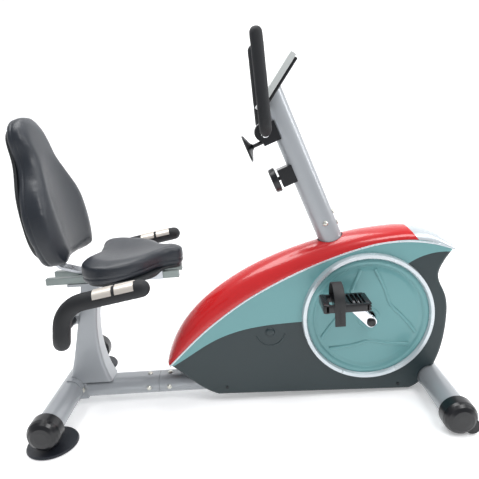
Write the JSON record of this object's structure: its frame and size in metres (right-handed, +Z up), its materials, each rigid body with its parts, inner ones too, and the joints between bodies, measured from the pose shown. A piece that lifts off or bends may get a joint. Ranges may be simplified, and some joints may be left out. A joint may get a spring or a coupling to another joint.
{
  "type": "exercise bike",
  "caption": "Recumbent magnetic exercise bike: padded seat and backrest on sliding rails, belt-driven flywheel under a moulded cover, mast with console and handlebar.",
  "frame": {"origin": "on the floor, under the middle of the whole bike", "axes": "+X forward, the way the rider faces; +Y to the rider's left; +Z up"},
  "size_m": [1.3217, 0.665, 1.1251],
  "materials": {
    "frame_silver": "satin",
    "rail_grey": "satin",
    "black_plastic": "fine grain",
    "grip_foam": "closed-cell foam",
    "vinyl": "padded vinyl",
    "board": "moulded",
    "red_gloss": "gloss",
    "teal_plastic": "satin",
    "dark_shell": "fine grain",
    "silver_plastic": "satin silver",
    "chrome": "polished",
    "zinc_bolt": "zinc plated",
    "steel": "bright",
    "flywheel_iron": "machined",
    "belt_rubber": "ribbed",
    "sensor_plate": "brushed",
    "console_grey": "fine grain",
    "console_lens": "dark window",
    "button": "soft",
    "foot_rubber": "moulded",
    "black_enamel": "satin black",
    "dark_screw": "blackened"
  },
  "bodies": {
    "frame": {"rear_beam": "frame_silver", "main_beam": "frame_silver", "rear_stabilizer": "frame_silver", "front_stabilizer": "frame_silver", "stabilizer_saddles": "frame_silver", "seat_post": "frame_silver", "mast": "frame_silver", "mast_stub": "frame_silver", "seat_rails": "rail_grey", "rear_end_caps": "black_plastic", "front_end_caps": "black_plastic", "tension_housing": "black_plastic", "bar_clamp": "black_plastic", "console_back": "black_plastic", "hand_grips": "grip_foam", "top_cover": "red_gloss", "nose_cover": "silver_plastic", "disc_rings": "silver_plastic", "side_bands": "teal_plastic", "disc_covers": "teal_plastic", "lower_shell_right": "dark_shell", "lower_shell_left": "dark_shell", "frame_bolts": "zinc_bolt", "cover_screws": "dark_screw", "hand_rail": "black_enamel", "crank_bearings": "steel", "flywheel_axle": "steel", "flywheel_brackets": "steel", "drive_belt": "belt_rubber", "pulse_plates": "sensor_plate", "console_front": "console_grey", "console_lens": "console_lens"},
    "seat": {"seat_carriage": "steel", "seat_board": "board", "seat_pad": "vinyl", "backrest_bracket": "steel", "backrest_board": "board", "backrest_pad": "vinyl"},
    "seat_lock": {"seat_lock_lever": "black_plastic"},
    "crank": {"crank_axle": "chrome", "crank_arms": "chrome", "crank_caps": "black_plastic", "drive_pulley": "black_plastic", "pedal_spindles": "chrome"},
    "right_pedal": {"pedal_right": "black_plastic", "pedal_strap_right": "belt_rubber"},
    "left_pedal": {"pedal_left": "black_plastic", "pedal_strap_left": "belt_rubber"},
    "flywheel": {"flywheel": "flywheel_iron"},
    "magnet": {"magnet_bracket": "steel"},
    "dial": {"tension_dial": "black_plastic"},
    "handlebar": {"handlebar": "chrome", "bar_grips": "grip_foam"},
    "bar_knob": {"clamp_knob": "black_plastic"},
    "right_button": {"console_button_right": "button"},
    "left_button": {"console_button_left": "button"},
    "right_foot": {"levelling_foot_right": "foot_rubber"},
    "left_foot": {"levelling_foot_left": "foot_rubber"},
    "right_wheel": {"transport_wheel_right": "belt_rubber"},
    "left_wheel": {"transport_wheel_left": "belt_rubber"}
  },
  "joints": [
    {"name": "seat_slide", "type": "slide", "parent": "frame", "child": "seat", "axis": [-1, 0, 0], "range_m": [0, 0.11]},
    {"name": "seat_lock_turn", "type": "hinge", "parent": "seat", "child": "seat_lock", "pos_m": [-0.307, 0.056, 0.445], "axis": [0, 1, 0], "range_deg": [0, 60]},
    {"name": "flywheel_spin", "type": "hinge", "parent": "frame", "child": "flywheel", "pos_m": [0.115, 0, 0.236], "axis": [0, 1, 0], "continuous": true},
    {"name": "crank_spin", "type": "hinge", "parent": "frame", "child": "crank", "pos_m": [0.392, 0, 0.273], "axis": [0, 1, 0], "continuous": true},
    {"name": "right_pedal_spin", "type": "hinge", "parent": "crank", "child": "right_pedal", "pos_m": [0.30149, -0.168, 0.36351], "axis": [0, 1, 0], "continuous": true},
    {"name": "left_pedal_spin", "type": "hinge", "parent": "crank", "child": "left_pedal", "pos_m": [0.48251, 0.168, 0.18249], "axis": [0, 1, 0], "continuous": true},
    {"name": "dial_turn", "type": "hinge", "parent": "frame", "child": "dial", "pos_m": [0.14522, 0, 0.71503], "axis": [-0.9385, 0, -0.3453], "range_deg": [0, 270]},
    {"name": "magnet_swing", "type": "hinge", "parent": "frame", "child": "magnet", "pos_m": [-0.02634, -0.012, 0.26604], "axis": [0, -1, 0], "range_deg": [0, 1.5]},
    {"name": "handlebar_tilt", "type": "hinge", "parent": "frame", "child": "handlebar", "pos_m": [0.10291, 0, 0.8561], "axis": [0, 1, 0], "range_deg": [-20, 20]},
    {"name": "bar_knob_turn", "type": "hinge", "parent": "frame", "child": "bar_knob", "pos_m": [0.11564, 0, 0.83308], "axis": [-0.9385, 0, -0.3453], "range_deg": [0, 360]},
    {"name": "right_button_press", "type": "slide", "parent": "frame", "child": "right_button", "axis": [0.8039, 0, -0.5948], "range_m": [0, 0.0015], "stiffness_N_per_m": 400, "springref_m": -0.0005},
    {"name": "left_button_press", "type": "slide", "parent": "frame", "child": "left_button", "axis": [0.8039, 0, -0.5948], "range_m": [0, 0.0015], "stiffness_N_per_m": 400, "springref_m": -0.0005},
    {"name": "right_foot_screw", "type": "slide", "parent": "frame", "child": "right_foot", "axis": [0, 0, -1], "range_m": [0, 0.012]},
    {"name": "left_foot_screw", "type": "slide", "parent": "frame", "child": "left_foot", "axis": [0, 0, -1], "range_m": [0, 0.012]},
    {"name": "right_wheel_spin", "type": "hinge", "parent": "frame", "child": "right_wheel", "pos_m": [0.625, -0.296, 0.025], "axis": [0, 1, 0], "continuous": true},
    {"name": "left_wheel_spin", "type": "hinge", "parent": "frame", "child": "left_wheel", "pos_m": [0.625, 0.296, 0.025], "axis": [0, 1, 0], "continuous": true}
  ],
  "couplings": [
    {"joint": "crank_spin", "follows": "flywheel_spin", "ratio": 0.2},
    {"joint": "magnet_swing", "follows": "dial_turn", "ratio": 0.005556}
  ]
}
